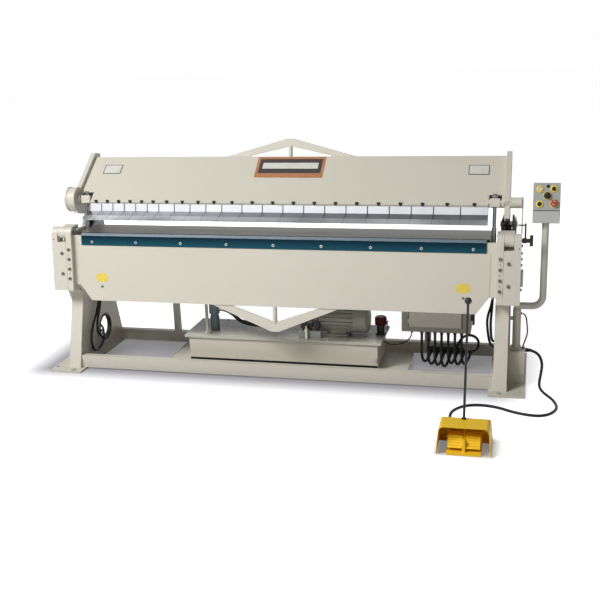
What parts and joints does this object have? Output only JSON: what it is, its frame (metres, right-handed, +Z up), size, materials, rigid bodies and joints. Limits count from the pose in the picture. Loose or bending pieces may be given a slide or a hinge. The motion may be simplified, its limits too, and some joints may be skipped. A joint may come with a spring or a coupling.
{
  "type": "hydraulic box and pan brake",
  "caption": "Hydraulic sheet metal folder with a raised beam of clamping fingers, a folding leaf on end hinges, an oil power unit below, a control pendant and a foot switch.",
  "frame": {"origin": "middle of the four floor anchor holes, on the floor", "axes": "+X along the bed to the pendant side, +Y from the folding leaf to the back, +Z up"},
  "size_m": [3.0889, 1.517, 1.3746],
  "materials": {
    "cream_paint": "satin cream enamel",
    "bed_steel": "dark rolled steel with a ground front edge",
    "ground_steel": "ground steel",
    "blue_paint": "satin dark blue enamel",
    "dark_steel": "dark oiled steel",
    "blackened_steel": "blackened screws",
    "zinc_steel": "zinc plated",
    "grey_metal": "grey enamel",
    "motor_paint": "grey olive enamel",
    "black_plastic": "matte black",
    "black_rubber": "matte black rubber",
    "red_plastic": "glossy red",
    "yellow_plastic": "glossy yellow",
    "yellow_paint": "glossy yellow enamel",
    "pale_plastic": "glossy pale grey",
    "pendant_grey": "satin light grey enamel",
    "brass": "machined brass",
    "filter_blue": "blue grey enamel"
  },
  "bodies": {
    "frame": {"foot_plates": "cream_paint", "side_frames": "cream_paint", "hose_hole_edging": "black_rubber", "base_rails": "cream_paint", "bed_beam": "cream_paint", "bed_bar": "bed_steel", "hinge_lugs": "cream_paint", "pivot_forks": "dark_steel", "closing_stops": "blackened_steel", "frame_fittings": "zinc_steel", "junction_box": "cream_paint", "pendant_post": "cream_paint", "tank_body": "cream_paint", "tank_lid": "cream_paint", "motor": "motor_paint", "fan_cover": "motor_paint", "pump_set": "grey_metal", "tank_fittings": "black_plastic", "relief_valve": "brass", "oil_filter": "filter_blue", "enclosure": "cream_paint", "cable_glands": "black_plastic", "cables": "black_rubber", "hydraulic_hoses": "black_rubber", "foot_switch_base": "yellow_paint", "foot_switch_hood": "yellow_paint", "carrying_rod": "blackened_steel", "foot_switch_cord": "black_rubber"},
    "leaf": {"leaf_plate": "cream_paint", "folding_bar": "ground_steel", "folding_strip": "blue_paint", "end_blocks": "cream_paint", "leaf_screws": "zinc_steel", "leaf_switch": "grey_metal"},
    "stop_arm": {"stop_arm": "blackened_steel"},
    "stop_knob": {"stop_knob": "black_plastic"},
    "beam": {"fingers": "ground_steel", "beam_shell": "cream_paint", "finger_screws": "blackened_steel", "beam_truss": "cream_paint", "end_plates": "cream_paint", "link_shafts": "zinc_steel", "trip_bar": "cream_paint"},
    "clamp_links": {"clamp_blocks": "cream_paint", "clamp_rods": "zinc_steel"},
    "clamp_cylinders": {"clamp_cylinders": "dark_steel"},
    "filler_cap": {"filler_cap": "red_plastic"},
    "enclosure_door": {"enclosure_door": "cream_paint"},
    "main_switch": {"main_switch": "black_plastic"},
    "pendant_arm": {"pendant_arm": "cream_paint"},
    "pendant_box": {"pendant_box": "pendant_grey", "pendant_rings": "yellow_plastic", "pendant_lamp": "black_plastic"},
    "button_start": {"button_start": "pale_plastic"},
    "button_return": {"button_return": "black_plastic"},
    "button_jog": {"button_jog": "black_plastic"},
    "selector": {"selector": "black_plastic"},
    "emergency_stop": {"emergency_stop": "red_plastic"},
    "tread_left": {"tread_left": "yellow_paint"},
    "tread_right": {"tread_right": "yellow_paint"}
  },
  "joints": [
    {"name": "beam_close", "type": "hinge", "parent": "frame", "child": "beam", "pos_m": [0, 0.235, 0.88], "axis": [1, 0, 0], "range_deg": [0, 12]},
    {"name": "link_turn", "type": "hinge", "parent": "beam", "child": "clamp_links", "pos_m": [0, 0.03, 1.043], "axis": [1, 0, 0], "range_deg": [-9.3, 0]},
    {"name": "cylinder_swing", "type": "hinge", "parent": "frame", "child": "clamp_cylinders", "pos_m": [0, -0.0617, 0.6], "axis": [1, 0, 0], "range_deg": [0, 2.8]},
    {"name": "leaf_fold", "type": "hinge", "parent": "frame", "child": "leaf", "pos_m": [0, -0.142, 0.866], "axis": [-1, 0, 0], "range_deg": [0, 129]},
    {"name": "stop_arm_set", "type": "hinge", "parent": "leaf", "child": "stop_arm", "pos_m": [0, -0.142, 0.866], "axis": [1, 0, 0], "range_deg": [-60, 90]},
    {"name": "stop_knob_turn", "type": "hinge", "parent": "stop_arm", "child": "stop_knob", "pos_m": [0, -0.142, 0.866], "axis": [1, 0, 0], "continuous": true},
    {"name": "filler_cap_turn", "type": "hinge", "parent": "frame", "child": "filler_cap", "pos_m": [0.58, 0.14, 0.29], "axis": [0, 0, 1], "continuous": true},
    {"name": "enclosure_door_swing", "type": "hinge", "parent": "frame", "child": "enclosure_door", "pos_m": [0.753, 0.105, 0.374], "axis": [0, 0, -1], "range_deg": [0, 110]},
    {"name": "main_switch_turn", "type": "hinge", "parent": "frame", "child": "main_switch", "pos_m": [1.126, 0.18, 0.31], "axis": [1, 0, 0], "range_deg": [0, 90]},
    {"name": "pendant_arm_swing", "type": "hinge", "parent": "frame", "child": "pendant_arm", "pos_m": [1.3962, -0.045, 0.466], "axis": [0, 0, 1], "range_deg": [-20, 20]},
    {"name": "pendant_box_swivel", "type": "hinge", "parent": "pendant_arm", "child": "pendant_box", "pos_m": [1.5352, -0.045, 0.955], "axis": [0, 0, 1], "range_deg": [-60, 60]},
    {"name": "button_start_press", "type": "slide", "parent": "pendant_box", "child": "button_start", "axis": [0, 0.9631, -0.2691], "range_m": [0, 0.004], "stiffness_N_per_m": 700},
    {"name": "button_return_press", "type": "slide", "parent": "pendant_box", "child": "button_return", "axis": [0, 0.9631, -0.2691], "range_m": [0, 0.004], "stiffness_N_per_m": 700},
    {"name": "button_jog_press", "type": "slide", "parent": "pendant_box", "child": "button_jog", "axis": [0, 0.9631, -0.2691], "range_m": [0, 0.004], "stiffness_N_per_m": 700},
    {"name": "emergency_stop_press", "type": "slide", "parent": "pendant_box", "child": "emergency_stop", "axis": [0, 0.9631, -0.2691], "range_m": [0, 0.005], "stiffness_N_per_m": 900},
    {"name": "selector_turn", "type": "hinge", "parent": "pendant_box", "child": "selector", "pos_m": [1.5382, -0.07368, 1.10329], "axis": [0, -0.9631, 0.2691], "range_deg": [-45, 45]},
    {"name": "tread_left_press", "type": "hinge", "parent": "frame", "child": "tread_left", "pos_m": [1.124, -0.926, 0.046], "axis": [1, 0, 0], "range_deg": [0, 6], "stiffness_Nm_per_rad": 12},
    {"name": "tread_right_press", "type": "hinge", "parent": "frame", "child": "tread_right", "pos_m": [1.224, -0.926, 0.046], "axis": [1, 0, 0], "range_deg": [0, 6], "stiffness_Nm_per_rad": 12}
  ],
  "couplings": [
    {"joint": "link_turn", "follows": "beam_close", "ratio": -0.769},
    {"joint": "cylinder_swing", "follows": "beam_close", "ratio": 0.231}
  ]
}
